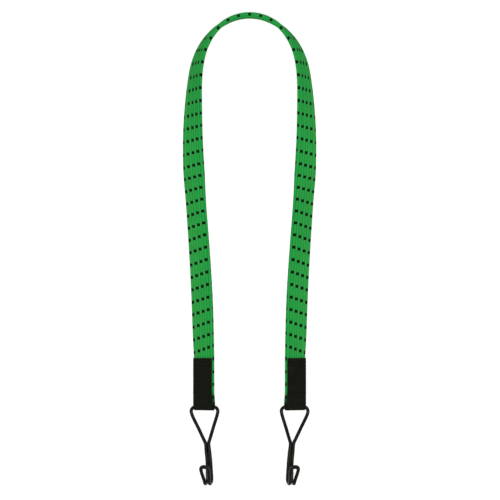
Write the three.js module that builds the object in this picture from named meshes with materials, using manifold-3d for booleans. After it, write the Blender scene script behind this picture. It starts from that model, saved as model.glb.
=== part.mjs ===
import * as THREE from 'three';
import { mergeVertices } from 'three/addons/utils/BufferGeometryUtils.js';
import Module from 'manifold-3d';

// A flat bungee cord, lying in a U on a table: an elastic strap with a sewn tab and a wire hook at
// each end. Millimetres, +Z up. The right half mirrors the left across x = 0.

// Elastic strap: a woven jacket with one rubber strand in each rib
const strapWidth = 20.5;
const strapThickness = 4.7;
const ribCount = 4;
const ribCrest = 2.5;
const grooveDepth = 0.4;
const edgeFlat = 1.6;
const edgeRound = 2.2;
const strandDiameter = 2.4;
const strandSides = 6;
const strandGap = 0.3;
const strapSteps = 50;

// Left half of the strap's route, from the middle of the arch to the mouth of the tab: x and y of
// the centreline, then the twist in degrees. At 90 the strap stands on edge, at 0 it lies flat, and
// above 0 the edge on the inner side of the U is the higher one.
const routeHalf = [
  [0, 226.8, 95],
  [-9.4, 225.8, 94],
  [-18.1, 223, 92],
  [-26, 218.7, 88.5],
  [-32.7, 213.3, 83.5],
  [-38.1, 207.3, 78.5],
  [-42.5, 200.9, 73.5],
  [-46.1, 194, 68.5],
  [-49.6, 184.1, 62],
  [-51.9, 173.8, 56.5],
  [-53.5, 159.5, 50.5],
  [-54.5, 142.5, 41.5],
  [-55.1, 124.5, 32],
  [-55.2, 106.5, 23],
  [-54.8, 89.5, 14],
  [-54.2, 75.5, 1],
  [-53.4, 62.5, -13],
  [-52.3, 47.5, -20],
  [-50.9, 28.5, -18.5],
  [-49.4, 7.5, -14.5],
  [-47.8, -16.5, -12],
  [-46.3, -40.5, -6],
  [-45.3, -66.5, 3],
  [-44.6, -88.5, 13],
  [-44.3, -98.5, 18],
  [-44.2, -106.3, 20],
];

// The strap lifts off the table over this length, up to the height of the thicker tab
const liftLength = 60;

// Webbing tab, folded round the bar of the hook, with the end of the strap between its two layers
const tabLength = 50.6;
const tabWidth = 18.6;
const webbingThickness = 1.2;
const sewGap = 0.3;
const barGap = 0.3;
const strapEndGap = 0.6;
const foldSteps = 8;

// Bar tacks: rows of thread on both faces, joined by stitches between the strands
const tackNames = ['upper', 'middle', 'lower'];
const tackFirst = 5;
const tackPitch = 15;
const tackInset = 1.5;
const tackLength = tabWidth - 2 * tackInset;
const tackWidth = 2.4;
const tackHeight = 0.7;
const stitchDiameter = 0.7;
const stitchGap = 0.3;
const stitchSides = 6;

// Wire hook: one wire from the bar round the eye, down a twin shank, round the bend and back in a
// hairpin tip. Its sizes run between the middles of the wire.
const wireDiameter = 3.2;
const wireSides = 8;
const wireSteps = 90;
const buttGap = 0.5;
const eyeWidth = 27.4;
const eyeLength = 35;
const shoulderRadius = 4;
const twinGap = 0.3;
const hookLength = 74;
const bendRadius = 5;
const bendSpread = 4.9;
const tipSpread = 7.2;
const tipHeight = 16.8;
const tipRound = 2.6;
const tipFlare = 22;
const shankSetBack = 2.6;
const shankSkew = 2.6;
const hookDroop = 3.3;
const hookSideShift = 0.45;

const colours = {
  jacket: { color: '#2f9f45', roughness: 0.75, metalness: 0 },
  rubber: { color: '#d9cfb4', roughness: 0.6, metalness: 0 },
  webbing: { color: '#1b1a16', roughness: 0.85, metalness: 0 },
  thread: { color: '#14130f', roughness: 0.7, metalness: 0 },
  wire: { color: '#26231f', roughness: 0.4, metalness: 0.3 },
};

// Corners closer than this are one corner
const weldDistance = 1e-4;

const wasm = await Module();
wasm.setup();

const radians = THREE.MathUtils.degToRad;
const wireRadius = wireDiameter / 2;
const ribPitch = strapWidth / ribCount;
const ribPlaces = Array.from({ length: ribCount }, (_, i) => (i - (ribCount - 1) / 2) * ribPitch);
const groovePlaces = ribPlaces.slice(1).map((place) => place - ribPitch / 2);
const [mouthX, mouthY, endTwist] = routeHalf[routeHalf.length - 1];

// The tab's two layers stand this far from its middle plane over the strap and over the bar
const layerOverStrap = strapThickness / 2 + sewGap;
const layerOverBar = wireRadius + barGap;
const tabHalf = layerOverStrap + webbingThickness;
const foldRadius = layerOverBar + webbingThickness;
const tackReach = tabHalf + sewGap + tackHeight;
const barToMouth = tabLength - foldRadius;
const barToStrap = wireRadius + strapEndGap;
const tackPlaces = tackNames.map((_, i) => barToMouth - tackFirst - i * tackPitch);

// Height of the strap's middle when it rests on the lowest corner of its section
function restHeight(twist) {
  const lean = Math.sin(radians(twist));
  const rise = Math.cos(radians(twist));
  return Math.max(...jacketOutline().map((corner) => corner.x * lean + corner.y * rise));
}

// Height of the tab's middle when its lowest corner, webbing or thread, rests on the table
function tabHeight() {
  const lean = Math.sin(radians(endTwist));
  const rise = Math.cos(radians(endTwist));
  const webbingCorner = (tabWidth / 2) * lean + tabHalf * rise;
  const tackCorner = (tackLength / 2) * lean + tackReach * rise;
  return Math.max(webbingCorner, tackCorner);
}

const endHeight = tabHeight();
const barPlace = new THREE.Vector3(mouthX, mouthY - barToMouth, endHeight);

function toSolid(geometry) {
  const plain = geometry.clone();
  plain.deleteAttribute('normal');
  plain.deleteAttribute('uv');
  const merged = mergeVertices(plain, weldDistance);
  const vertProperties = new Float32Array(merged.attributes.position.array);
  const triVerts = new Uint32Array(merged.index.array);
  return new wasm.Manifold(new wasm.Mesh({ numProp: 3, vertProperties, triVerts }));
}

function toGeometry(solid) {
  const mesh = solid.getMesh();
  const geometry = new THREE.BufferGeometry();
  geometry.setAttribute('position', new THREE.BufferAttribute(new Float32Array(mesh.vertProperties), 3));
  geometry.setIndex(new THREE.BufferAttribute(new Uint32Array(mesh.triVerts), 1));
  return geometry;
}

// A copy mirrored across x = 0, with its faces turned round to point out again
function mirrored(geometry) {
  const copy = mergeVertices(geometry.clone());
  copy.scale(-1, 1, 1);
  const index = Array.from(copy.index.array);
  for (let i = 0; i < index.length; i += 3) {
    [index[i], index[i + 1]] = [index[i + 1], index[i]];
  }
  copy.setIndex(index);
  return copy;
}

function namedMesh(name, geometry, colour) {
  geometry.computeVertexNormals();
  const mesh = new THREE.Mesh(geometry, new THREE.MeshStandardMaterial(colour));
  mesh.name = name;
  return mesh;
}

// Stations along the strap from the left end to the right one. Each has its middle, the direction
// across the strap towards the inner edge, and the direction out of its outer face.
function strapStations() {
  const left = routeHalf.map(([x, y, twist]) => {
    const lift = THREE.MathUtils.smoothstep(mouthY - y, -liftLength, 0);
    const extra = lift * (endHeight - restHeight(endTwist));
    return { place: new THREE.Vector3(x, y, restHeight(twist) + extra), twist };
  });
  const right = left.slice(1).map(({ place, twist }) => {
    return { place: place.clone().multiply(new THREE.Vector3(-1, 1, 1)), twist };
  });
  const route = [...left.reverse(), ...right];
  const line = new THREE.CatmullRomCurve3(route.map(({ place }) => place));
  const turn = new THREE.SplineCurve(route.map(({ twist }, i) => new THREE.Vector2(i, twist)));

  const stations = [];
  for (let step = 0; step <= strapSteps; step += 1) {
    const t = step / strapSteps;
    const atEnd = step === 0 || step === strapSteps;
    const straight = new THREE.Vector3(0, step === 0 ? 1 : -1, 0);
    const along = atEnd ? straight : line.getTangent(t);
    stations.push(station(line.getPoint(t), along, turn.getPoint(t).y));
  }
  const lap = barToMouth - barToStrap;
  const first = stations[0];
  const last = stations[strapSteps];
  const shiftBack = ({ place, ...frame }) => ({ ...frame, place: place.clone().setY(place.y - lap) });
  return [shiftBack(first), ...stations, shiftBack(last)];
}

function station(place, along, twist) {
  const inward = new THREE.Vector3(along.y, -along.x, 0).normalize();
  const up = new THREE.Vector3().crossVectors(inward, along).normalize();
  const cos = Math.cos(radians(twist));
  const sin = Math.sin(radians(twist));
  const across = inward.clone().multiplyScalar(cos).addScaledVector(up, sin);
  const out = up.clone().multiplyScalar(cos).addScaledVector(inward, -sin);
  return { place, across, out };
}

// Outline of the jacket: ribs with a groove between them on both faces, and rounded edges
function jacketOutline() {
  const half = strapThickness / 2;
  const edge = strapWidth / 2;
  const roundMiddle = new THREE.Vector2(
    edge - edgeRound * (1 - Math.SQRT1_2),
    edgeFlat / 2 + (half - edgeFlat / 2) * Math.SQRT1_2,
  );
  const face = [];
  ribPlaces.toReversed().forEach((place, i) => {
    const outer = i === 0 ? edge - edgeRound : place + ribCrest / 2;
    const inner = i === ribCount - 1 ? -edge + edgeRound : place - ribCrest / 2;
    face.push(new THREE.Vector2(outer, half), new THREE.Vector2(inner, half));
    if (i < ribCount - 1) {
      face.push(new THREE.Vector2(place - ribPitch / 2, half - grooveDepth));
    }
  });
  const upper = [
    new THREE.Vector2(edge, edgeFlat / 2),
    roundMiddle,
    ...face,
    new THREE.Vector2(-roundMiddle.x, roundMiddle.y),
    new THREE.Vector2(-edge, edgeFlat / 2),
  ];
  const lower = upper.map((point) => point.clone().negate());
  return [...upper, ...lower];
}

function circle(centreX, radius, sides) {
  return Array.from({ length: sides }, (_, i) => {
    const angle = (i / sides) * 2 * Math.PI;
    return new THREE.Vector2(centreX + radius * Math.cos(angle), radius * Math.sin(angle));
  });
}

// A closed body with one outline and any number of channels, carried along the stations
function loft(stations, outline, channels) {
  const loops = [outline, ...channels.map((channel) => channel.toReversed())];
  const section = loops.flat();
  const positions = stations.flatMap(({ place, across, out }) => section.flatMap((point) => {
    return place.clone().addScaledVector(across, point.x).addScaledVector(out, point.y).toArray();
  }));

  const index = [];
  const size = section.length;
  for (let i = 0; i + 1 < stations.length; i += 1) {
    let start = i * size;
    for (const loop of loops) {
      for (let j = 0; j < loop.length; j += 1) {
        const here = start + j;
        const next = start + ((j + 1) % loop.length);
        index.push(here + size, next + size, next, here + size, next, here);
      }
      start += loop.length;
    }
  }
  const lastRing = (stations.length - 1) * size;
  for (const [a, b, c] of THREE.ShapeUtils.triangulateShape(outline, loops.slice(1))) {
    index.push(a, b, c, lastRing + c, lastRing + b, lastRing + a);
  }
  const geometry = new THREE.BufferGeometry();
  geometry.setAttribute('position', new THREE.Float32BufferAttribute(positions, 3));
  geometry.setIndex(index);
  return geometry;
}

// Prisms along the tab's thickness at every stitch of the named rows
function stitchPrisms(rows, diameter, length) {
  const prisms = rows.flatMap((row) => groovePlaces.map((place) => {
    const prism = new THREE.CylinderGeometry(diameter / 2, diameter / 2, length, stitchSides);
    return prism.rotateX(Math.PI / 2).translate(place, row, 0);
  }));
  return prisms.map(toSolid).reduce((sum, prism) => sum.add(prism));
}

function stitchHoles() {
  return stitchPrisms(tackPlaces, stitchDiameter + 2 * stitchGap, 2 * tackReach);
}

// Frame of an end: x across the tab to the inner side, +y up the strap, z out of its front face,
// with the middle of the bar at its origin. Side is -1 for the left end and 1 for the right one.
function endFrame(side) {
  const frame = new THREE.Group();
  frame.position.set(-side * barPlace.x, barPlace.y, barPlace.z);
  frame.rotation.y = side * radians(endTwist);
  frame.updateMatrixWorld();
  return frame;
}

// Turns a shape drawn along the strap and out of it into a strip of the given width across it
function acrossStrip(shape, width) {
  const strip = new THREE.ExtrudeGeometry(shape, { depth: width, bevelEnabled: false });
  strip.translate(0, 0, -width / 2);
  const turn = new THREE.Matrix4().makeBasis(
    new THREE.Vector3(0, 1, 0),
    new THREE.Vector3(0, 0, 1),
    new THREE.Vector3(1, 0, 0),
  );
  return strip.applyMatrix4(turn);
}

// The webbing runs down the front of the strap, round the bar and up the back
function webbingTab() {
  const arc = (radius, from, to) => Array.from({ length: foldSteps + 1 }, (_, i) => {
    const angle = from + ((to - from) * i) / foldSteps;
    return new THREE.Vector2(radius * Math.cos(angle), radius * Math.sin(angle));
  });
  const shape = new THREE.Shape([
    new THREE.Vector2(barToMouth, tabHalf),
    new THREE.Vector2(barToStrap, tabHalf),
    ...arc(foldRadius, 0.5 * Math.PI, 1.5 * Math.PI),
    new THREE.Vector2(barToStrap, -tabHalf),
    new THREE.Vector2(barToMouth, -tabHalf),
    new THREE.Vector2(barToMouth, -layerOverStrap),
    new THREE.Vector2(barToStrap, -layerOverStrap),
    ...arc(layerOverBar, 1.5 * Math.PI, 0.5 * Math.PI),
    new THREE.Vector2(barToStrap, layerOverStrap),
    new THREE.Vector2(barToMouth, layerOverStrap),
  ]);
  return toGeometry(toSolid(acrossStrip(shape, tabWidth)).subtract(stitchHoles()));
}

function barTack(row) {
  const base = tabHalf + sewGap;
  const top = tackReach;
  const slope = tackHeight / 2;
  const bars = [1, -1].map((face) => {
    const corners = [
      new THREE.Vector2(row - tackWidth / 2, face * base),
      new THREE.Vector2(row + tackWidth / 2, face * base),
      new THREE.Vector2(row + tackWidth / 2 - slope, face * top),
      new THREE.Vector2(row - tackWidth / 2 + slope, face * top),
    ];
    return toSolid(acrossStrip(new THREE.Shape(corners), tackLength));
  });
  const stitches = stitchPrisms([row], stitchDiameter, base + top);
  return toGeometry(stitches.add(bars[0]).add(bars[1]));
}

// Front of the hook's return leg at a place down the hook: it leaves the bend leaning outwards
function returnFront(down) {
  const flare = radians(tipFlare);
  const bendFront = bendRadius * (1 + Math.cos(flare)) - shankSetBack;
  const bendEnd = hookLength - bendRadius * (1 - Math.sin(flare));
  return bendFront + (bendEnd - down) * Math.tan(flare);
}

// Middle line of one half of the wire, from the bar to the root of the hairpin. Side is 1 for the
// half on the inner side. Down runs away from the strap and front towards the tip.
function halfWire(side) {
  const skew = Math.tan(radians(shankSkew));
  const twin = (wireDiameter + twinGap) / 2;
  const at = (spread, down, front) => new THREE.Vector3(down * skew + side * spread, -down, front);

  // Shoulder arc, ending where the straight side of the eye leaves it for the top of the shank
  const centre = new THREE.Vector2(eyeWidth / 2 - shoulderRadius, shoulderRadius);
  const apex = new THREE.Vector2(side * eyeLength * skew + twin, eyeLength);
  const reach = apex.clone().sub(centre);
  const bearing = Math.PI + Math.atan2(-reach.x, reach.y);
  const sweep = bearing - Math.acos(shoulderRadius / reach.length());
  const shoulder = [0, 1 / 3, 2 / 3, 1].map((share) => {
    const angle = share * sweep;
    const across = centre.x + shoulderRadius * Math.sin(angle);
    return new THREE.Vector3(side * across, -centre.y + shoulderRadius * Math.cos(angle), 0);
  });
  const shankTop = new THREE.Vector3(side * apex.x, -apex.y, 0);
  const eyeSide = [0.5, 0.9].map((share) => shoulder[3].clone().lerp(shankTop, share));

  // The bend turns in the plane of the shank while the two wires spread
  const bendMiddle = hookLength - bendRadius;
  const bendTurn = Math.PI - radians(tipFlare);
  const bend = [0, 0.25, 0.5, 0.75, 1].map((share) => {
    const angle = share * bendTurn;
    const spread = THREE.MathUtils.lerp(twin, bendSpread / 2, share);
    const front = bendRadius * (1 - Math.cos(angle)) - shankSetBack;
    return at(spread, bendMiddle + bendRadius * Math.sin(angle), front);
  });
  const tipRoot = hookLength - tipHeight + tipRound;
  return [
    new THREE.Vector3((side * buttGap) / 2, 0, 0),
    ...shoulder,
    ...eyeSide,
    shankTop,
    at(twin, (eyeLength + bendMiddle) / 2, -shankSetBack / 2),
    ...bend,
    at(tipSpread / 2, tipRoot, returnFront(tipRoot)),
  ];
}

function wireHook() {
  const skew = Math.tan(radians(shankSkew));
  const tipRoot = hookLength - tipHeight + tipRound;
  const hairpin = [0.25, 0.5, 0.75].map((share) => {
    const angle = share * Math.PI;
    const down = tipRoot - tipRound * Math.sin(angle);
    const across = down * skew + (tipSpread / 2) * Math.cos(angle);
    return new THREE.Vector3(across, -down, returnFront(down));
  });
  const path = new THREE.CatmullRomCurve3([...halfWire(1), ...hairpin, ...halfWire(-1).reverse()]);
  const section = new THREE.Shape(circle(0, wireRadius, wireSides));
  return new THREE.ExtrudeGeometry(section, { steps: wireSteps, extrudePath: path });
}

function strapParts() {
  const stations = strapStations();
  const channelRadius = strandDiameter / 2 + strandGap;
  const channels = ribPlaces.map((place) => circle(place, channelRadius, strandSides));
  const holes = [-1, 1].map((side) => {
    const shape = toGeometry(stitchHoles());
    const placed = side < 0 ? shape : mirrored(shape);
    return toSolid(placed.applyMatrix4(endFrame(side).matrixWorld));
  });
  const jacket = toSolid(loft(stations, jacketOutline(), channels)).subtract(holes[0]).subtract(holes[1]);
  const strands = ribPlaces.map((place, i) => {
    const strand = loft(stations, circle(place, strandDiameter / 2, strandSides), []);
    return namedMesh(`rubber_strand_${i + 1}`, strand, colours.rubber);
  });
  return [namedMesh('strap_jacket', toGeometry(jacket), colours.jacket), ...strands];
}

function endParts(side) {
  const name = side < 0 ? 'left' : 'right';
  const hand = (geometry) => (side < 0 ? geometry : mirrored(geometry));
  const end = endFrame(side);
  end.add(namedMesh(`${name}_webbing_tab`, hand(webbingTab()), colours.webbing));
  tackNames.forEach((tack, i) => {
    end.add(namedMesh(`${name}_${tack}_bar_tack`, hand(barTack(tackPlaces[i])), colours.thread));
  });
  const hook = namedMesh(`${name}_wire_hook`, hand(wireHook()), colours.wire);
  hook.position.x = -side * hookSideShift;
  hook.rotation.x = radians(hookDroop);
  end.add(hook);
  return end;
}

// The origin is on the table, in the middle of the cord's footprint
const cord = new THREE.Group();
cord.add(...strapParts(), endParts(-1), endParts(1));
const box = new THREE.Box3().setFromObject(cord, true);
const footprint = box.getCenter(new THREE.Vector3());
cord.position.set(-footprint.x, -footprint.y, -box.min.z);

const part = new THREE.Group();
part.add(cord);

export default part;
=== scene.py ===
import math

import bpy
import numpy as np
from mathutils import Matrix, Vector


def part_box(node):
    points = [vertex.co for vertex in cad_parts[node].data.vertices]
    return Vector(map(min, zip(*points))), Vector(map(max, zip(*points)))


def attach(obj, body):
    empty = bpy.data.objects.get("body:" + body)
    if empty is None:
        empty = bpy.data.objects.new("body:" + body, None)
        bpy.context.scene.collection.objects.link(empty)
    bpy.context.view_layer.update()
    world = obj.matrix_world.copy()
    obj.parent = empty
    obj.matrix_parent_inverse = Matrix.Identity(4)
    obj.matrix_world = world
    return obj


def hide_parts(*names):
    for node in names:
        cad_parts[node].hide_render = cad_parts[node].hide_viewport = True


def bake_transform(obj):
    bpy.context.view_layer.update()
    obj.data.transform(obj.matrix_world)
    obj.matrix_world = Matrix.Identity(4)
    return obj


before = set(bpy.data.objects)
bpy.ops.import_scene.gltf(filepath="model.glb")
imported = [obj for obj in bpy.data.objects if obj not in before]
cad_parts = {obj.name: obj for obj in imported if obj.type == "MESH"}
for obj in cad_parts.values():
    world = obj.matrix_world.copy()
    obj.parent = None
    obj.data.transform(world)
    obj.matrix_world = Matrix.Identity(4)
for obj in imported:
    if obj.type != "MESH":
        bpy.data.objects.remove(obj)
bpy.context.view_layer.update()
print("frame loaded,", len(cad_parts), "nodes")

hands = (("left", 1), ("right", np.array([-1.0, 1.0, 1.0])))  # the right half mirrors the left


def toLinear(hexColour):
    # sRGB hex to linear red, green, blue and full alpha
    channels = np.array([int(hexColour[i:i + 2], 16) for i in (1, 3, 5)]) / 255
    linear = np.where(channels <= 0.04045, channels / 12.92, ((channels + 0.055) / 1.055) ** 2.4)
    return (*linear.tolist(), 1.0)


def addNode(tree, kind, inputs=None, **settings):
    # a node or socket given as an input is linked, anything else is set on the socket
    node = tree.nodes.new(kind)
    for key, value in settings.items():
        setattr(node, key, value)
    for key, value in (inputs or {}).items():
        if isinstance(value, bpy.types.Node):
            value = value.outputs[0]
        if isinstance(value, bpy.types.NodeSocket):
            tree.links.new(value, node.inputs[key])
        else:
            node.inputs[key].default_value = value
    return node


def newFinish(name, **sockets):
    # a Principled material with these sockets set, its node tree and its shader
    material = bpy.data.materials.new(name)
    material.use_nodes = True
    shader = material.node_tree.nodes["Principled BSDF"]
    for socket, value in sockets.items():
        shader.inputs[socket].default_value = value
    return material, material.node_tree, shader


def smoothStep(share):
    # 3 s^2 - 2 s^3 of a share kept between 0 and 1
    share = np.clip(share, 0, 1)
    return share * share * (3 - 2 * share)


def unit(vectors):
    # each vector over its own length
    return vectors / np.linalg.norm(vectors, axis=-1, keepdims=True)


def farAlong(line):
    # distance of each point from the first, along the line
    return np.append(0, np.cumsum(np.linalg.norm(np.diff(line, axis=0), axis=1)))


def throughPoints(points, perSpan, power=0.5):
    # Catmull-Rom line: a cubic from each point to the next, its slopes taken from the neighbours.
    # Distances count to the given power: 0.5 keeps the line from overshooting, 0 spaces the
    # points evenly.
    points = np.asarray(points, float)
    ends = 2 * points[[0, -1]] - points[[1, -2]]
    p = np.vstack([ends[:1], points, ends[1:]])
    p0, p1, p2, p3 = p[:-3], p[1:-2], p[2:-1], p[3:]
    d = np.linalg.norm(np.diff(p, axis=0), axis=1)[:, None] ** power
    d0, d1, d2 = d[:-2], d[1:-1], d[2:]
    m1 = ((p1 - p0) / d0 - (p2 - p0) / (d0 + d1) + (p2 - p1) / d1) * d1
    m2 = ((p2 - p1) / d1 - (p3 - p1) / (d1 + d2) + (p3 - p2) / d2) * d1
    t = np.linspace(0, 1, perSpan, endpoint=False)[:, None]
    c2 = 3 * (p2 - p1) - 2 * m1 - m2
    c3 = 2 * (p1 - p2) + m1 + m2
    spans = p1[:, None] + m1[:, None] * t + c2[:, None] * t ** 2 + c3[:, None] * t ** 3
    return np.vstack([spans.reshape(-1, points.shape[1]), points[-1:]])


def sweep(line, across, out, section):
    # section point (a, b) at each station of the line: middle + a * across + b * out;
    # the section is one for all stations or one for each
    return line[:, None] + section[..., :1] * across[:, None] + section[..., 1:] * out[:, None]


def gridParts(grid):
    # quads between neighbouring rings of a grid that closes round its second axis,
    # and its two end caps
    rows, columns = grid.shape[:2]
    i, j = np.meshgrid(np.arange(rows - 1), np.arange(columns), indexing="ij")
    ring, after = i * columns, (j + 1) % columns
    quads = np.stack([ring + j, ring + columns + j, ring + columns + after, ring + after], -1)
    first = np.arange(columns)
    return quads.reshape(-1, 4), [first, first[::-1] + (rows - 1) * columns]


def insideOut(points, quads):
    # the signed volume under the quads: negative where their faces point inwards
    a, b, c, d = (points[quads[:, k]] for k in range(4))
    return (np.cross(b - a, c - a) * a).sum() + (np.cross(c - a, d - a) * a).sum() < 0


def newPiece(name, grids, material, lays):
    # one object from closed tubes, each a grid of rings; lays has a (u, v) grid for each tube,
    # one column wider than its rings, because the seam has two
    vertices, faces, corners, smooth, start = [], [], [], [], 0
    for grid, lay in zip(grids, lays):
        points = grid.reshape(-1, 3)
        quads, caps = gridParts(grid)
        step = -1 if insideOut(points, quads) else 1
        vertices.append(points)
        faces += (quads[:, ::step] + start).tolist()
        faces += [(cap[::step] + start).tolist() for cap in caps]
        smooth += [True] * len(quads) + [False] * len(caps)
        cells = np.stack([lay[:-1, :-1], lay[1:, :-1], lay[1:, 1:], lay[:-1, 1:]], 2)
        corners.append(cells[:, :, ::step].reshape(-1, 2))
        corners += [lay[0, :-1][::step], lay[-1, :-1][::-step]]
        start += len(points)
    mesh = bpy.data.meshes.new(name)
    mesh.from_pydata(np.vstack(vertices).tolist(), [], faces)
    mesh.polygons.foreach_set("use_smooth", smooth)
    layer = mesh.uv_layers.new(name="lay")
    layer.uv.foreach_set("vector", np.vstack(corners).astype(np.float32).ravel())
    mesh.materials.append(material)
    mesh.update()
    piece = bpy.data.objects.new(name, mesh)
    bpy.context.scene.collection.objects.link(piece)
    return piece


# Studio: straight down on the table from far off, one wide soft box above, white all round

studio = {
    "aim": (0.00039, -0.00143),  # point of the table in the middle of the picture
    "height": 3.3,
    "tableInView": 0.4875,  # width of the table in the picture
    "sensor": 36,
    "seesTo": 100,
    "boxPlace": (0, -0.6, 3.7),
    "boxSize": 1.5,
    "boxPower": 53,
    "roomLight": 0.65,
    "floorSize": 8,
    "floorDrop": 0.0004,
    "floorGrey": "#d8d8d8",
    "floorGlow": 0.6,
}


def whereSeen(tree):
    # 1 for a ray from the camera, a gloss or a clear piece, 0 for one that gathers light
    path = addNode(tree, "ShaderNodeLightPath")
    sharp = addNode(tree, "ShaderNodeMath", {
        0: path.outputs["Is Glossy Ray"], 1: path.outputs["Is Transmission Ray"]},
        operation="MAXIMUM")
    return addNode(tree, "ShaderNodeMath", {0: path.outputs["Is Camera Ray"], 1: sharp},
                   operation="MAXIMUM")


def mattWhiteBoard():
    # painted board: seen directly or in a gloss it glows to white, and still takes a soft shadow
    material = bpy.data.materials.new("mattWhiteBoard")
    material.use_nodes = True
    tree = material.node_tree
    strength = addNode(tree, "ShaderNodeMath", {0: whereSeen(tree), 1: studio["floorGlow"]},
                       operation="MULTIPLY")
    glow = addNode(tree, "ShaderNodeEmission", {"Strength": strength})
    matt = addNode(tree, "ShaderNodeBsdfDiffuse", {"Color": toLinear(studio["floorGrey"])})
    both = addNode(tree, "ShaderNodeAddShader", {0: glow, 1: matt})
    tree.links.new(both.outputs[0], tree.nodes["Material Output"].inputs["Surface"])
    return material


def makeStudio():
    scene = bpy.context.scene
    scene.view_settings.view_transform = "Standard"
    lens = bpy.data.cameras.new("camera")
    lens.sensor_width = studio["sensor"]
    lens.lens = studio["sensor"] * studio["height"] / studio["tableInView"]
    lens.clip_end = studio["seesTo"]
    eye = bpy.data.objects.new("camera", lens)
    eye.location = (*studio["aim"], studio["height"])
    scene.collection.objects.link(eye)
    scene.camera = eye

    lamp = bpy.data.lights.new("softBox", "AREA")
    lamp.size = studio["boxSize"]
    lamp.energy = studio["boxPower"]
    softBox = bpy.data.objects.new("softBox", lamp)
    softBox.location = studio["boxPlace"]
    scene.collection.objects.link(softBox)

    # seen directly or in a gloss the room is white, and it lights the object more gently
    world = bpy.data.worlds.new("room")
    world.use_nodes = True
    scene.world = world
    tree = world.node_tree
    level = addNode(tree, "ShaderNodeMapRange", {
        "Value": whereSeen(tree), "To Min": studio["roomLight"], "To Max": 1.0})
    background = tree.nodes["Background"]
    background.inputs["Color"].default_value = (1, 1, 1, 1)
    tree.links.new(level.outputs[0], background.inputs["Strength"])

    half = studio["floorSize"] / 2
    mesh = bpy.data.meshes.new("floor")
    mesh.from_pydata([(x, y, -studio["floorDrop"]) for x, y in (
        (-half, -half), (half, -half), (half, half), (-half, half))], [], [(0, 1, 2, 3)])
    mesh.materials.append(mattWhiteBoard())
    floor = bpy.data.objects.new("floor", mesh)
    scene.collection.objects.link(floor)
    print("studio ready")


makeStudio()


# Ends: each tab's frame has its middle on the hook's bar, x across to the inner side of the U,
# y up the strap and z out of the front face

tab = {
    "width": 0.0194,
    "spread": 0.046,  # share by which the strip spreads where it is folded
    "sag": 0.0003,  # the fold hangs this much lower than the solid's
    "sideways": (0, -0.0005),  # its middle at the bar and at the mouth, towards the inner side
    "straightAbove": 0.018,  # height over the bar from which it runs straight
    "thickness": 0.0012,
    "overStrap": 0.00265,  # inner face of a layer from the tab's middle plane, over the strap
    "overBar": 0.0019,  # and round the bar
    "barToStrap": 0.0029,
    "lean": 20,  # degrees, inner edge up
    "tackRows": (0.0425, 0.0275, 0.0125),  # height of each row of stitches above the bar
    "tackDimple": 0.00012,
    "dimpleSpread": 0.0022,
    "settle": 0.0022,  # length over which the layers close from the strap to the bar
    "step": 0.00023,
    "foldSteps": 34,
    "selvedge": 0.00045,  # rounding of the strip's edges
    "selvedgeSteps": 5,
    "across": 30,
}

lowTab, highTab = (np.array(corner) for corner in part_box("left_webbing_tab"))
barPlace = (lowTab + highTab) / 2
barPlace[1] = lowTab[1] + tab["overBar"] + tab["thickness"] - tab["sag"]
barToMouth = highTab[1] - barPlace[1]
lean = math.radians(tab["lean"])
endAxes = np.array([
    [math.cos(lean), 0, math.sin(lean)],
    [0, 1, 0],
    [-math.sin(lean), 0, math.cos(lean)],
])


def onLeftEnd(points):
    # from the left tab's frame to the table's: a turn by the lean, then a shift to the bar
    return barPlace + points @ endAxes


# Strap: the route follows the solid's, from the middle of the arch to the mouth of the left tab

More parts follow.
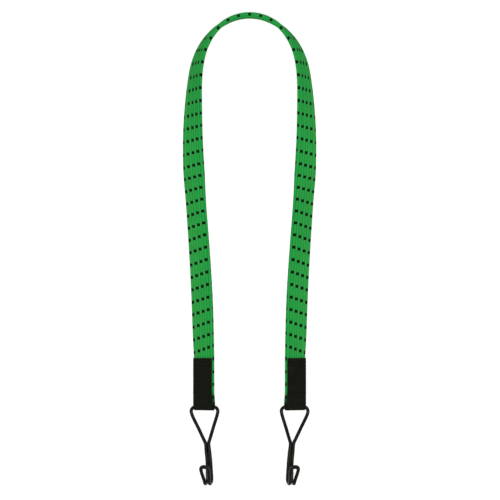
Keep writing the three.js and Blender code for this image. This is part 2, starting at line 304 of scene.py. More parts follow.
strap = {
    "width": 0.0208,
    "thickness": 0.0047,
    "ribs": 4,
    "grooveDepth": 0.0004,
    "edgeRound": 0.0024,
    "rise": 0.060,  # length over which it lifts to the height of the tab
    "sectionSamples": 1201,
    "around": 112,
    "perSpan": 16,
    "lapSteps": 30,
    "stretchFrom": 0.215,  # above this the arch stays as it is when the strap is pulled
    "rowPitch": 0.0121,  # from one row of tracer floats to the next, on the whole
    "rows": (0, 2, 4, 6, 7, 9, 14, 15, 20, 24, 29, 34),  # these rows lie this far from the arch,
    "rowsAt": (0, 0.0216, 0.0463, 0.0718, 0.0852, 0.1103,
               0.1711, 0.1833, 0.2409, 0.2892, 0.3507, 0.4123),
    "shear": (-0.06, -0.015),  # and the lay is sheared by this much
    "shearAt": (0.19, 0.24),  # before and after these distances
    "edgeFloats": (0, 0.0005),  # floats on the inner and outer edge reach this far over the face
    "floatShifts": [  # the jacket creeps on the ribs, and moves each column of floats this far out
        [0, -0.0017, 0, 0, 0],  # on the arch
        [0, 0, 0, 0, 0],
        [0.0007, -0.0002, -0.0007, -0.00085, -0.00075],  # where the strap turns
    ],
    "shiftRows": (4, 5.5, 7, 12, 16, 18, 26),  # at these rows
    "shiftNumbers": (0, 1, 2, 2, 1, 1, 2),  # the shift has this number, blended in between
    "curlFrom": 0.0035,  # the inner rib curls down from here to its edge
    "route": [  # x and y, then degrees of twist and of the inner rib's curl
        [0, 0.2268, 92.5, 0],
        [-0.0094, 0.2258, 92, 0],
        [-0.0181, 0.223, 91, 0],
        [-0.026, 0.2187, 88.5, 0],
        [-0.0327, 0.2133, 83.5, 0],
        [-0.0381, 0.2073, 78.5, 0],
        [-0.0425, 0.2009, 73.5, 0],
        [-0.0461, 0.194, 68.5, 0],
        [-0.0496, 0.1841, 62, 0],
        [-0.0519, 0.1738, 56.5, 0],
        [-0.0535, 0.1595, 50.5, 0],
        [-0.0545, 0.1425, 41.5, 0],
        [-0.0551, 0.1245, 32, 0],
        [-0.0552, 0.1065, 23, 0],
        [-0.0548, 0.0895, 14, 0],
        [-0.0542, 0.0755, 1, 0],
        [-0.0534, 0.0625, -13, 0],
        [-0.0523, 0.0475, -20, 8],
        [-0.0509, 0.0285, -18.5, 20],
        [-0.0494, 0.0075, -14.5, 25],
        [-0.0479, -0.0165, -12, 12],
        [-0.0466, -0.0405, -6, 10],
        [-0.0456, -0.0665, 3, 3],
        [-0.0449, -0.0885, 11, 0],
        [-0.0445, -0.0985, 17, 0],
        [-0.0442, -0.1063, 20, 0],
    ],
}

jacket = {
    "inner": "#0d9038",  # the dye turns a little yellower towards the outer edge
    "outer": "#25923a",
    "lit": "#4fbb61",  # painted highlight on each rib's crest and along each groove's floor
    "litShare": 0.34,
    "tracer": "#0a0b08",
    # the strap turns darker over its last stretch, where it runs into the tab
    "darkEnd": "#0e3318",
    "darkEndLength": 0.014,
    "yarnsPerRib": 4,
    "picksPerRow": 8,
    "tracerAcross": (0.3, 0.26),  # fades out between these shares of a rib from the groove
    "tracerAlong": (0.14, 0.11),  # and of the row pitch from its middle
    "tracerHeight": 0.6,  # of the relief
    "relief": 0.0001,
    "reliefShare": 0.8,
    "weaveShades": (0.94, 1.06),
    "roughness": 0.85,
    "gloss": 0.05,
    "sheen": 0.02,
    "sheenRoughness": 0.5,
    "patchSize": 0.012,  # patches where the dye took a little differently
    "patchDetail": 3.0,
    "patchRange": (0.3, 0.7),
    "patchShades": (0.95, 1.05),
}


def wovenPolyesterJacket(lastRow):
    # polyester yarn woven tight over rubber: dull, softly ribbed along its length, with short
    # floats of black tracer yarn in the grooves, each column an eighth of a row after the last,
    # a painted highlight on each rib's crest and along each groove's floor, and darker towards the
    # cut end. The yarns are drawn about twice as coarse as real ones, so that they show.
    material, tree, shader = newFinish("wovenPolyesterJacket", **{
        "Roughness": jacket["roughness"], "Specular IOR Level": jacket["gloss"],
        "Sheen Weight": jacket["sheen"], "Sheen Roughness": jacket["sheenRoughness"]})
    lay = addNode(tree, "ShaderNodeSeparateXYZ", {
        0: addNode(tree, "ShaderNodeUVMap", uv_map="lay")})
    rows, columns = lay.outputs["X"], lay.outputs["Y"]

    # tracer floats: near a groove across and near a row along
    fromGroove = addNode(tree, "ShaderNodeMath", {0: columns, 1: 0.5}, operation="PINGPONG")
    column = addNode(tree, "ShaderNodeMath", {0: columns}, operation="ROUND")
    stepped = addNode(tree, "ShaderNodeMath", {0: column, 1: -0.5 / strap["ribs"], 2: rows},
                      operation="MULTIPLY_ADD")
    fromRow = addNode(tree, "ShaderNodeMath", {0: stepped, 1: 0.5}, operation="PINGPONG")
    acrossFrom, acrossTo = jacket["tracerAcross"]
    inGroove = addNode(tree, "ShaderNodeMapRange", {
        "Value": fromGroove, "From Min": acrossFrom, "From Max": acrossTo},
        interpolation_type="SMOOTHSTEP")
    alongFrom, alongTo = jacket["tracerAlong"]
    inRow = addNode(tree, "ShaderNodeMapRange", {
        "Value": fromRow, "From Min": alongFrom, "From Max": alongTo},
        interpolation_type="SMOOTHSTEP")
    tracer = addNode(tree, "ShaderNodeMath", {0: inGroove, 1: inRow}, operation="MULTIPLY")

    # plain weave: each yarn rises and falls over the picks, half a pick after its neighbour
    yarns = addNode(tree, "ShaderNodeMath", {0: columns, 1: jacket["yarnsPerRib"]},
                    operation="MULTIPLY")
    yarn = addNode(tree, "ShaderNodeMath", {0: yarns, 1: 0.5}, operation="PINGPONG")
    whichYarn = addNode(tree, "ShaderNodeMath", {0: yarns}, operation="FLOOR")
    picks = addNode(tree, "ShaderNodeMath", {0: rows, 1: jacket["picksPerRow"]},
                    operation="MULTIPLY")
    staggered = addNode(tree, "ShaderNodeMath", {0: whichYarn, 1: 0.5, 2: picks},
                        operation="MULTIPLY_ADD")
    pick = addNode(tree, "ShaderNodeMath", {0: staggered, 1: 0.5}, operation="PINGPONG")
    weave = addNode(tree, "ShaderNodeMath", {0: yarn, 1: pick}, operation="ADD")

    # dye, with a painted highlight on rib crests and groove floors, shaded by the weave and in
    # patches, and darker towards the cut end
    fromInner = addNode(tree, "ShaderNodeMath", {0: columns, 1: strap["ribs"]},
                        operation="PINGPONG")
    dye = addNode(tree, "ShaderNodeMix", {
        0: addNode(tree, "ShaderNodeMapRange", {"Value": fromInner, "From Max": strap["ribs"]}),
        6: toLinear(jacket["inner"]), 7: toLinear(jacket["outer"])}, data_type="RGBA")
    # painted highlight: lighter where the ribs crest and along the groove floors, the faces that
    # take the most light
    halfRib = addNode(tree, "ShaderNodeMath", {0: columns, 1: 0.25}, operation="PINGPONG")
    ribHighlight = addNode(tree, "ShaderNodeMapRange", {
        "Value": halfRib, "From Min": 0.25, "From Max": 0.0}, interpolation_type="SMOOTHSTEP")
    lit = addNode(tree, "ShaderNodeMath", {0: ribHighlight, 1: jacket["litShare"]}, operation="MULTIPLY")
    body = addNode(tree, "ShaderNodeMix", {
        0: lit, 6: dye.outputs[2], 7: toLinear(jacket["lit"])}, data_type="RGBA")
    handling = addNode(tree, "ShaderNodeTexNoise", {
        "Vector": addNode(tree, "ShaderNodeTexCoord").outputs["Object"],
        "Scale": 1 / jacket["patchSize"], "Detail": jacket["patchDetail"]})
    patch = addNode(tree, "ShaderNodeMapRange", {
        "Value": handling,
        "From Min": jacket["patchRange"][0], "From Max": jacket["patchRange"][1],
        "To Min": jacket["patchShades"][0], "To Max": jacket["patchShades"][1]})
    shade = addNode(tree, "ShaderNodeMapRange", {
        "Value": weave, "To Min": jacket["weaveShades"][0], "To Max": jacket["weaveShades"][1]})
    level = addNode(tree, "ShaderNodeMath", {0: shade, 1: patch}, operation="MULTIPLY")
    dyed = addNode(tree, "ShaderNodeMix", {0: 1.0, 6: body.outputs[2], 7: level},
                   data_type="RGBA", blend_type="MULTIPLY")
    # the colour darkens over the last stretch to the cut end
    darkEndRows = jacket["darkEndLength"] / strap["rowPitch"]
    towardsEnd = addNode(tree, "ShaderNodeMapRange", {
        "Value": rows, "From Min": lastRow - darkEndRows, "From Max": lastRow},
        interpolation_type="SMOOTHSTEP")
    cut = addNode(tree, "ShaderNodeMix", {
        0: towardsEnd, 6: dyed.outputs[2], 7: toLinear(jacket["darkEnd"])}, data_type="RGBA")
    cloth = addNode(tree, "ShaderNodeMix", {
        0: tracer, 6: cut.outputs[2], 7: toLinear(jacket["tracer"])}, data_type="RGBA")
    tree.links.new(cloth.outputs[2], shader.inputs["Base Color"])

    raised = addNode(tree, "ShaderNodeMath", {0: tracer, 1: jacket["tracerHeight"], 2: weave},
                     operation="MULTIPLY_ADD")
    bump = addNode(tree, "ShaderNodeBump", {
        "Height": raised, "Distance": jacket["relief"], "Strength": jacket["reliefShare"]})
    tree.links.new(bump.outputs[0], shader.inputs["Normal"])
    return material


def strapSection():
    # half height over x: a flat with elliptical edges, less a raised-cosine groove between each
    # two ribs. Points lie evenly from the inner edge over the front to the outer edge, and the
    # back is its half turn.
    half, edge, rounding = strap["thickness"] / 2, strap["width"] / 2, strap["edgeRound"]
    pitch = strap["width"] / strap["ribs"]
    x = edge * np.cos(np.linspace(0, np.pi, strap["sectionSamples"]))
    past = np.clip((np.abs(x) - edge + rounding) / rounding, 0, 1)
    groove = (1 + np.cos(2 * np.pi * x / pitch)) / 2
    y = half * np.sqrt(1 - past ** 2) - strap["grooveDepth"] * groove * (1 - past)
    far = np.append(0, np.cumsum(np.hypot(np.diff(x), np.diff(y))))
    even = np.linspace(0, far[-1], strap["around"] // 2, endpoint=False)
    face = np.column_stack([np.interp(even, far, x), np.interp(even, far, y)])

    # columns of floats count from the inner edge over the front and on over the back, which
    # mirrors the front; there is one set of columns for each shift
    places = np.linspace(-edge, edge, strap["ribs"] + 1)
    places[[0, -1]] += np.array(strap["edgeFloats"]) * (1, -1)
    seams = np.interp(places, -x, far)
    around = np.append(even, far[-1] + np.append(even, far[-1]))
    fromInner = np.minimum(around, 2 * far[-1] - around)
    numbers = np.arange(strap["ribs"] + 1)
    fronts = np.array([np.interp(fromInner, seams + np.array(shift), numbers)
                       for shift in strap["floatShifts"]])
    columns = np.where(around < far[-1], fronts, 2 * strap["ribs"] - fronts)
    return np.vstack([face, -face]), columns


def curled(section, curl):
    # past the start of the curl the section follows a circle down to its inner edge: a point b
    # above the middle, at the angle t on a circle of radius r, lies at (r + b) sin t along and
    # (r + b) cos t - r up; the least curl keeps r finite
    start, leastCurl = strap["curlFrom"], 1e-6
    radius = (strap["width"] / 2 - start) / np.maximum(curl, leastCurl)[:, None]
    angle = np.maximum(section[:, 0] - start, 0) / radius
    x = np.minimum(section[:, 0], start) + (radius + section[:, 1]) * np.sin(angle)
    return np.stack([x, (radius + section[:, 1]) * np.cos(angle) - radius], -1)


def strapLine(section):
    # the route on the table, at each place as high as the leaning section needs to rest on its
    # lowest point, rising to the tab near its mouth and running straight on into it; twist turns
    # the section from flat
    half = np.array(strap["route"], float)
    half[:, 1] += highTab[1] - half[-1, 1]
    whole = np.vstack([half[::-1], half[1:] * (-1, 1, 1, 1)])
    plan = throughPoints(whole[:, :2], strap["perSpan"])
    twist, curl = np.radians(throughPoints(whole[:, 2:], strap["perSpan"], 0)).T
    sections = curled(section, curl)
    cos, sin = np.cos(twist)[:, None], np.sin(twist)[:, None]
    rest = -(sections[..., 0] * sin + sections[..., 1] * cos).min(1)
    lifted = smoothStep((half[-1, 1] + strap["rise"] - plan[:, 1]) / strap["rise"])
    line = np.column_stack([plan, rest + lifted * (barPlace[2] - rest[0])])

    lapSteps = strap["lapSteps"]
    lapLength = barToMouth - tab["barToStrap"]
    lap = np.linspace(lapLength, 0, lapSteps, endpoint=False)[:, None] * np.array([0, -1, 0])
    line = np.vstack([line[0] + lap, line, line[-1] + lap[::-1]])
    twist = np.pad(twist, lapSteps, "edge")[:, None]
    sections = np.pad(sections, ((lapSteps, lapSteps), (0, 0), (0, 0)), "edge")
    along = unit(np.gradient(line, axis=0))
    inward = unit(np.column_stack([along[:, 1], -along[:, 0], 0 * along[:, 0]]))
    up = np.cross(inward, along)
    across = np.cos(twist) * inward + np.sin(twist) * up
    out = np.cos(twist) * up - np.sin(twist) * inward
    toArch = len(line) // 2 + 1
    return line[:toArch], across[:toArch], out[:toArch], sections[:toArch]


def strapLay(fromArch, section, columns):
    # rows of floats along and columns round; each station blends the two sets of columns whose
    # numbers lie on either side of its own
    rows = np.interp(fromArch, strap["rowsAt"], strap["rows"])
    shear = np.interp(fromArch, strap["shearAt"], strap["shear"]) / strap["rowPitch"]
    fromEdge = np.append(section[:, 0], section[0, 0]) - strap["width"] / 2
    number = np.interp(rows, strap["shiftRows"], strap["shiftNumbers"])
    shares = np.clip(1 - np.abs(number[:, None] - np.arange(len(columns))), 0, 1)
    lay = np.stack([rows[:, None] + shear[:, None] * fromEdge, shares @ columns], -1)
    return lay, rows[0]


def makeStraps():
    section, columns = strapSection()
    line, across, out, sections = strapLine(section)
    far = farAlong(line)
    length = float(far[-1])
    lay, lastRow = strapLay(length - far, section, columns)
    grid = sweep(line, across, out, sections)
    woven = wovenPolyesterJacket(lastRow)
    strands = ["rubber_strand_%d" % n for n in range(1, strap["ribs"] + 1)]
    for side, hand in hands:
        piece = newPiece("strap_" + side, [grid * hand], woven, [lay])
        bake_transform(piece)
        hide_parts("strap_jacket", *strands)
    print("strap halves laid, %.3f m each from the sewn end to the middle of the arch" % length)


makeStraps()


# Webbing tabs, folded round the hook's bar

webbing = {
    "black": "#13130e",
    "dustAndHighlight": "#1d1d15",
    "weftPitch": 0.0014,  # drawn about as coarse as the ribs that show
    "weftHeight": 0.00007,
    "warpPitch": 0.0011,
    "relief": 0.00010,
    "reliefShare": 0.8,
    "roughness": 0.9,
    "gloss": 0.04,
    "sheen": 0.015,
    "sheenRoughness": 0.45,
    "patchSize": 0.006,  # patches of dust and of painted highlight on the high yarns
    "patchDetail": 4.0,
    "dustAndHighlightRange": (0.1, 0.5),
}


def wovenPolyesterWebbing():
    # black polyester webbing, plain woven on a narrow loom: close ribs across, fine yarns along,
    # dull, with the high yarns lighter in patches: dust, and a painted highlight on their crowns.
    # The yarns are drawn coarser than real ones, to show.
    material, tree, shader = newFinish("wovenPolyesterWebbing", **{
        "Roughness": webbing["roughness"], "Specular IOR Level": webbing["gloss"],
        "Sheen Weight": webbing["sheen"], "Sheen Roughness": webbing["sheenRoughness"]})
    lay = addNode(tree, "ShaderNodeSeparateXYZ", {
        0: addNode(tree, "ShaderNodeUVMap", uv_map="lay")})
    wefts, warps = lay.outputs["X"], lay.outputs["Y"]
    warp = addNode(tree, "ShaderNodeMath", {0: warps, 1: 0.5}, operation="PINGPONG")
    whichWarp = addNode(tree, "ShaderNodeMath", {0: warps}, operation="FLOOR")
    staggered = addNode(tree, "ShaderNodeMath", {0: whichWarp, 1: 0.5, 2: wefts},
                        operation="MULTIPLY_ADD")
    weft = addNode(tree, "ShaderNodeMath", {0: staggered, 1: 0.5}, operation="PINGPONG")
    weave = addNode(tree, "ShaderNodeMath", {0: warp, 1: weft}, operation="ADD")
    handling = addNode(tree, "ShaderNodeTexNoise", {
        "Vector": addNode(tree, "ShaderNodeTexCoord").outputs["Object"],
        "Scale": 1 / webbing["patchSize"], "Detail": webbing["patchDetail"]})
    # high yarns lighter in patches: dust, and a painted highlight on their crowns
    dustAndHighlightMask = addNode(tree, "ShaderNodeMath", {0: weave, 1: handling}, operation="MULTIPLY")
    liftFrom, liftTo = webbing["dustAndHighlightRange"]
    lift = addNode(tree, "ShaderNodeMapRange", {
        "Value": dustAndHighlightMask, "From Min": liftFrom, "From Max": liftTo})
    cloth = addNode(tree, "ShaderNodeMix", {
        0: lift, 6: toLinear(webbing["black"]), 7: toLinear(webbing["dustAndHighlight"])}, data_type="RGBA")
    tree.links.new(cloth.outputs[2], shader.inputs["Base Color"])
    bump = addNode(tree, "ShaderNodeBump", {
        "Height": weave, "Distance": webbing["relief"], "Strength": webbing["reliefShare"]})
    tree.links.new(bump.outputs[0], shader.inputs["Normal"])
    return material


def stripSection():
    # a rectangle with quarter circles at its corners, points going once round it
    halfWidth, halfHeight = tab["width"] / 2, tab["thickness"] / 2
    rounding = tab["selvedge"]
    turn = np.linspace(0, np.pi / 2, tab["selvedgeSteps"])
    corner = rounding * np.column_stack([np.cos(turn), np.sin(turn)])
    x = np.linspace(halfWidth - rounding, -halfWidth + rounding, tab["across"])[1:-1]
    top = np.column_stack([x, np.full(len(x), halfHeight)])
    right = corner + (halfWidth - rounding, halfHeight - rounding)
    left = corner[::-1] * (-1, 1) + (-halfWidth + rounding, halfHeight - rounding)
    upper = np.vstack([right, top, left])
    return np.vstack([upper, -upper])


def tabGrid():
    # the strip runs down the front, in a half circle round the bar and up the back: its height
    # over the middle plane eases from the strap's face to the bar's, dips at the stitch rows and
    # rises at each weft rib. Near the bar it spreads a little and moves over to the inner side.
    halfHeight = tab["thickness"] / 2
    overStrap, fold = tab["overStrap"] + halfHeight, tab["overBar"] + halfHeight
    y = np.linspace(barToMouth, 0, int(barToMouth / tab["step"]))
    height = fold + (overStrap - fold) * smoothStep(y / tab["settle"])
    near = (y[:, None] - np.array(tab["tackRows"])) / tab["dimpleSpread"]
    height = height - tab["tackDimple"] * np.exp(-near ** 2).sum(1)
    turn = np.linspace(np.pi / 2, 3 * np.pi / 2, tab["foldSteps"] + 2)[1:-1]
    down = np.column_stack([y, height])
    loop = fold * np.column_stack([np.cos(turn), np.sin(turn)])
    path = np.vstack([down, loop, down[::-1] * (1, -1)])
    far = farAlong(path)
    slope = unit(np.gradient(path, axis=0))
    out = np.column_stack([0 * far, slope[:, 1], -slope[:, 0]])
    straight = smoothStep(path[:, 0] / tab["straightAbove"])
    low, high = tab["sideways"]
    line = np.column_stack([low + (high - low) * straight, path])
    section = stripSection()
    weftWave = np.cos(2 * np.pi * far / webbing["weftPitch"])
    rib = 1 + webbing["weftHeight"] / halfHeight * weftWave
    across = (1 + tab["spread"] * (1 - straight))[:, None] * np.array([1, 0, 0])
    grid = sweep(line, across, out * rib[:, None], section)
    wefts = far[:, None] / webbing["weftPitch"]
    warps = np.append(section[:, 0], section[0, 0])[None] / webbing["warpPitch"]
    return onLeftEnd(grid), np.stack(np.broadcast_arrays(wefts, warps), -1)


def makeTabs():
    woven = wovenPolyesterWebbing()
    grid, lay = tabGrid()
    for side, hand in hands:
        piece = newPiece("tab_" + side, [grid * hand], woven, [lay])
        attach(piece, side + "_end")
        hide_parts(side + "_webbing_tab")
    print("webbing tabs folded")


makeTabs()


# Bar tacks: straight threads across the tab under a close zigzag, on both faces, and thread
# through the strap

tack = {
    "length": 0.0156,
    "width": 0.0024,
    "thread": 0.0006,
    "zigzags": 30,
    "perZigzag": 8,
    "turnEase": 0.98,  # at 1 the zigzag would turn in a sharp corner
    "archPower": 4,  # the higher, the flatter each stitch lies between its needle holes
    "sides": 8,
    "surface": 0.00385,  # face of the webbing from the tab's middle plane
    "top": 0.0046,  # middle of the thread at the top of each zigzag
    "dive": 0.0001,
    "underThreads": 3,
    "underReach": 0.6,  # share of the zigzag's reach that they fill
    "underLength": 0.97,  # share of the tack's length
    "underAt": (0, 0.04, 0.1, 0.9, 0.96, 1),  # at these shares of its length an under thread
    "underHeight": (-0.5, 0.1, 0.35, 0.35, 0.1, -0.5),  # lies this many threads over the webbing
    "underSpan": 5,
    "through": (-0.0051, 0, 0.0051),  # stitches between the rubber strands
    "throughSteps": 6,
    "tail": [  # loose end: x from the tack's end, y from its row, z over the tab's middle plane
        [0.0006, 0, 0.0041], [-0.0006, 0.0004, 0.0044], [-0.0017, 0.001, 0.0042],
        [-0.0024, 0.0013, 0.0035], [-0.0026, 0.0012, 0.0026],
    ],
    "tailOn": "lower",
    "tailSpan": 6,
    "black": "#131210",
    "lit": "#1d1c18",
    "twist": 0.0011,  # one turn of the thread's plies, drawn coarser than real, to show
    "relief": 0.00008,
    "reliefShare": 0.7,
    "roughness": 0.75,
    "gloss": 0.06,
}


def bondedPolyesterThread():
    # bonded filament thread: black, a little smoother than the webbing, with its plies winding
    # round it
    material, tree, shader = newFinish("bondedPolyesterThread", **{
        "Roughness": tack["roughness"], "Specular IOR Level": tack["gloss"]})
    lay = addNode(tree, "ShaderNodeSeparateXYZ", {
        0: addNode(tree, "ShaderNodeUVMap", uv_map="lay")})
    wound = addNode(tree, "ShaderNodeMath", {0: lay.outputs["X"], 1: lay.outputs["Y"]},
                    operation="ADD")
    plies = addNode(tree, "ShaderNodeMath", {0: wound, 1: 0.5}, operation="PINGPONG")
    shade = addNode(tree, "ShaderNodeMapRange", {"Value": plies, "From Max": 0.5})
    dyed = addNode(tree, "ShaderNodeMix", {
        0: shade, 6: toLinear(tack["black"]), 7: toLinear(tack["lit"])}, data_type="RGBA")
    tree.links.new(dyed.outputs[2], shader.inputs["Base Color"])
    bump = addNode(tree, "ShaderNodeBump", {
        "Height": plies, "Distance": tack["relief"], "Strength": tack["reliefShare"]})
    tree.links.new(bump.outputs[0], shader.inputs["Normal"])
    return material


def tube(line, facing, diameter, sides, turnLength):
    # a circle carried along the line, its first point towards facing; lay counts turns of a
    # pattern along it and shares of the way round it
    along = unit(np.gradient(line, axis=0))
    first = unit(facing - (facing * along).sum(1, keepdims=True) * along)
    turn = np.linspace(0, 2 * np.pi, sides + 1)
    circle = diameter / 2 * np.column_stack([np.cos(turn), np.sin(turn)])[:-1]
    turns, share = farAlong(line)[:, None] / turnLength, turn[None] / (2 * np.pi)
    lay = np.stack(np.broadcast_arrays(turns, share), -1)
    return sweep(line, first, np.cross(along, first), circle), lay


def tackTubes(row, hasTail):
    # zigzag: across by even steps, along by a triangle wave with eased turns, arching over the
    # straight threads from one needle hole to the next
    length, surface, thread = tack["length"], tack["surface"], tack["thread"]
    t = np.linspace(0, tack["zigzags"], tack["zigzags"] * tack["perZigzag"] + 1)
    wave = 2 / np.pi * np.arcsin(tack["turnEase"] * np.sin(np.pi * (t - 0.5)))
    hole = surface - tack["dive"]
    arch = hole + (tack["top"] - hole) * (1 - wave ** tack["archPower"])
    x = length * (t / tack["zigzags"] - 0.5)
    reach = (tack["width"] - thread) / 2

    underReach = tack["underReach"]
    offsets = reach * np.linspace(-underReach, underReach, tack["underThreads"])
    at = np.array(tack["underAt"])
    underX = length * tack["underLength"] * (at - 0.5)
    underZ = surface + thread * np.array(tack["underHeight"])
    tubes = []
    for face in (1, -1):
        lines = [np.column_stack([x, row + reach * wave, face * arch])]
        for offset in offsets:
            points = np.column_stack([underX, 0 * at + row + offset, face * underZ])
            lines.append(throughPoints(points, tack["underSpan"]))
        tubes += [(line, np.array([[0, 0, 1.0]])) for line in lines]

    down = np.linspace(surface, -surface, tack["throughSteps"])
    for place in tack["through"]:
        line = np.column_stack([0 * down + place, 0 * down + row, down])
        tubes.append((line, np.array([[1.0, 0, 0]])))
    if hasTail:
        points = np.array(tack["tail"]) + (-length / 2, row, 0)
        tubes.append((throughPoints(points, tack["tailSpan"]), np.array([[0, 1.0, 0]])))
    return [tube(line, facing, thread, tack["sides"], tack["twist"]) for line, facing in tubes]


def makeTacks():
    thread = bondedPolyesterThread()
    for level, row in zip(("upper", "middle", "lower"), tab["tackRows"]):
        grids, lays = zip(*tackTubes(row, level == tack["tailOn"]))
        for side, hand in hands:
            name = "%s_%s_bar_tack" % (side, level)
            sewn = [onLeftEnd(grid) * hand for grid in grids]
            piece = newPiece("stitched_" + name, sewn, thread, lays)
            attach(piece, side + "_end")
            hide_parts(name)
    print("bar tacks sewn")


makeTacks()


# Hooks: one wire each, from the bar round the eye, down the twin shank, round the bend to a
# hairpin tip. Sizes run between the middles of the wire.

hook = {
    "wire": 0.0034,
    "bead": 0.16,  # share by which the coating is thicker at the tip, where it drained
    "beadLength": 0.004,
    "sides": 20,
    "perSpan": 14,
    "buttGap": 0.0005,
    "eyeHalf": (0.0137, 0.0141),  # inner and outer half of the bar
    "shoulder": (0.004, 0.0049),
    "shoulderPoints": 4,
    "eyeLength": 0.0353,
    "eyeSideAt": (0.5, 0.9, 1.0),  # points of the eye's side, as shares of its straight length
    "shankTop": (0.0002, 0.00175),  # sway to the inner side and half the spread of the two wires,
    "shank": [[0.0443, 0.0003, 0.00178], [0.0533, 0.00035, 0.0018],  # and further down
              [0.0593, 0.0002, 0.00182], [0.0648, -0.0002, 0.0021]],
    "length": 0.0749,
    "bend": 0.005,
    "bendSway": (-0.00045, -0.0006, -0.00075, -0.0004, 0.0001),
    "bendSpread": (0.0043, 0.005),
    "tipSway": 0.0003,
    "tipSpread": 0.0074,
    "tipHeight": 0.0177,
    "tipRound": 0.0026,
    "tipAt": (0.25, 0.5, 0.75),  # points of the hairpin, as shares of its half turn
    "flare": 22,  # degrees that the return leg leans out
    "setBack": 0.0026,
    "skew": 2.6,  # degrees, shank to the side
    "droop": 3.3,  # degrees, hook towards the table
    "sideShift": 0.00045,
    "black": "#050404",
    "scuffAndHighlight": "#3f3934",
    "peelSize": 0.0016,
    "peelDetail": 2.0,
    "relief": 0.00002,
    "reliefShare": 0.6,
    "scuffSize": 0.009,
    "scuffDetail": 6.0,
    "scuffRoughness": 0.7,
    "scuffAndHighlightRange": (0.52, 0.78),
    "scuffAndHighlightShare": 0.5,
    "roughness": (0.1, 0.24),
    "roughnessRange": (0.35, 0.75),
    "gloss": 0.13,
    "glossColour": "#fff0e0",
}

skew, droop, flare = (math.radians(hook[key]) for key in ("skew", "droop", "flare"))


def dipCoatedSteelWire():
    # steel wire dipped in black vinyl: satin, with a faint orange peel, and greyer and duller in
    # small places: scuffs where it has met other things, whose grey also stands in as a painted
    # highlight
    material, tree, shader = newFinish("dipCoatedSteelWire", **{
        "Specular IOR Level": hook["gloss"], "Specular Tint": toLinear(hook["glossColour"])})
    place = addNode(tree, "ShaderNodeTexCoord").outputs["Object"]
    peel = addNode(tree, "ShaderNodeTexNoise", {
        "Vector": place, "Scale": 1 / hook["peelSize"], "Detail": hook["peelDetail"]})
    scuffs = addNode(tree, "ShaderNodeTexNoise", {
        "Vector": place, "Scale": 1 / hook["scuffSize"], "Detail": hook["scuffDetail"],
        "Roughness": hook["scuffRoughness"]})
    # grey patches: scuffs, and in part a painted highlight on the wire
    scuffAndHighlightMask = addNode(tree, "ShaderNodeMapRange", {
        "Value": scuffs, "From Min": hook["scuffAndHighlightRange"][0], "From Max": hook["scuffAndHighlightRange"][1],
        "To Max": hook["scuffAndHighlightShare"]})
    coat = addNode(tree, "ShaderNodeMix", {
        0: scuffAndHighlightMask, 6: toLinear(hook["black"]), 7: toLinear(hook["scuffAndHighlight"])}, data_type="RGBA")
    tree.links.new(coat.outputs[2], shader.inputs["Base Color"])
    dull = addNode(tree, "ShaderNodeMapRange", {
        "Value": scuffs,
        "From Min": hook["roughnessRange"][0], "From Max": hook["roughnessRange"][1],
        "To Min": hook["roughness"][0], "To Max": hook["roughness"][1]})
    tree.links.new(dull.outputs[0], shader.inputs["Roughness"])
    bump = addNode(tree, "ShaderNodeBump", {
        "Height": peel, "Distance": hook["relief"], "Strength": hook["reliefShare"]})
    tree.links.new(bump.outputs[0], shader.inputs["Normal"])
    return material


def returnFront(down):
    # how far in front of the bar the return leg stands: it leaves the bend leaning out by the
    # flare
    bendFront = hook["bend"] * (1 + math.cos(flare)) - hook["setBack"]
    bendEnd = hook["length"] - hook["bend"] * (1 - math.sin(flare))
    return bendFront + (bendEnd - down) * math.tan(flare)


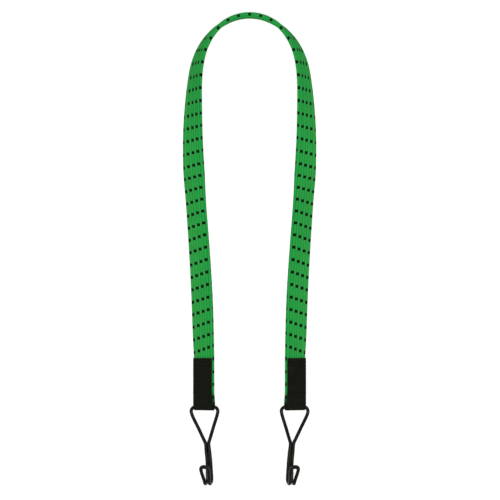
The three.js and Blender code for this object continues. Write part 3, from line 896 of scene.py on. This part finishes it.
def halfWire(side):
    # points of the wire's middle from the bar to the hairpin, 1 for the inner half and -1 for the
    # outer one, and for each the way that the section's first point faces, so that the tube never
    # twists
    radius, half = (hook[key][0 if side > 0 else 1] for key in ("shoulder", "eyeHalf"))
    eyeLength, setBack = hook["eyeLength"], hook["setBack"]
    bendMiddle = hook["length"] - hook["bend"]

    def at(sway, spread, down, front):
        x = down * math.tan(skew) + sway + side * spread
        return np.column_stack(np.broadcast_arrays(x, -down, front))

    # shoulder: an arc up to the point where the straight side of the eye leaves it for the top of
    # the shank
    centre = half - radius
    topSway, topSpread = hook["shankTop"]
    apex = side * (eyeLength * math.tan(skew) + topSway) + topSpread
    reach = np.array([apex - centre, eyeLength - radius])
    leaves = np.pi + np.arctan2(-reach[0], reach[1]) - np.arccos(radius / np.linalg.norm(reach))
    a = np.linspace(0, leaves, hook["shoulderPoints"])
    shoulder = np.column_stack([
        side * (centre + radius * np.sin(a)), radius * (np.cos(a) - 1), 0 * a])
    shankTop = np.array([side * apex, -eyeLength, 0])
    eyeSide = shoulder[-1] + np.array(hook["eyeSideAt"])[:, None] * (shankTop - shoulder[-1])

    # shank: the two wires part little by little and step back; bend: a turn in the plane of the
    # shank
    down, sway, spread = np.array(hook["shank"]).T
    shank = at(sway, spread, down, -(setBack * (down - eyeLength) / (bendMiddle - eyeLength)))
    bendSway = np.array(hook["bendSway"])
    b = np.linspace(0, np.pi - flare, len(bendSway))
    bend = at(bendSway, np.linspace(*hook["bendSpread"], len(bendSway)) / 2,
              bendMiddle + hook["bend"] * np.sin(b), hook["bend"] * (1 - np.cos(b)) - setBack)
    tipRoot = np.array([hook["length"] - hook["tipHeight"] + hook["tipRound"]])
    tip = at(hook["tipSway"], hook["tipSpread"] / 2, tipRoot, returnFront(tipRoot))
    butt = np.array([[side * hook["buttGap"] / 2, 0, 0]])
    eye = np.vstack([butt, shoulder, eyeSide])
    facing = np.repeat([[0, 0, 1], [side, 0, 1], [side, 0, 0], [side, 0, 1]],
                       [len(eye), len(shank), len(bend), len(tip)], axis=0)
    return np.vstack([eye, shank, bend, tip]), facing


def hookGrid():
    # inner half, the hairpin's half ellipse and the outer half back to the bar, as one line of
    # wire; then the whole hook turns down on the bar by the droop
    turn = np.array(hook["tipAt"]) * np.pi
    down = hook["length"] - hook["tipHeight"] + hook["tipRound"] * (1 - np.sin(turn))
    x = down * math.tan(skew) + hook["tipSway"] + hook["tipSpread"] / 2 * np.cos(turn)
    hairpin = np.column_stack([x, -down, returnFront(down)])
    inner, innerFacing = halfWire(1)
    outer, outerFacing = halfWire(-1)
    line = throughPoints(np.vstack([inner, hairpin, outer[::-1]]), hook["perSpan"])
    tipFacing = np.tile([0, 0, 1], (len(hairpin), 1))
    facing = throughPoints(np.vstack([innerFacing, tipFacing, outerFacing[::-1]]),
                           hook["perSpan"], 0)
    far = farAlong(line)
    bead = 1 + hook["bead"] * np.exp(-((far - far[-1] / 2) / hook["beadLength"]) ** 2)
    grid, lay = tube(line, facing, hook["wire"] * bead[:, None, None], hook["sides"], hook["wire"])
    dropped = grid @ np.array([
        [1, 0, 0],
        [0, math.cos(droop), math.sin(droop)],
        [0, -math.sin(droop), math.cos(droop)],
    ])
    return onLeftEnd(dropped + (hook["sideShift"], tab["sag"], 0)), lay


def makeHooks():
    coated = dipCoatedSteelWire()
    grid, lay = hookGrid()
    for side, hand in hands:
        piece = newPiece("hook_" + side, [grid * hand], coated, [lay])
        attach(piece, side + "_hook")
        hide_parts(side + "_wire_hook")
    print("hooks bent")


makeHooks()
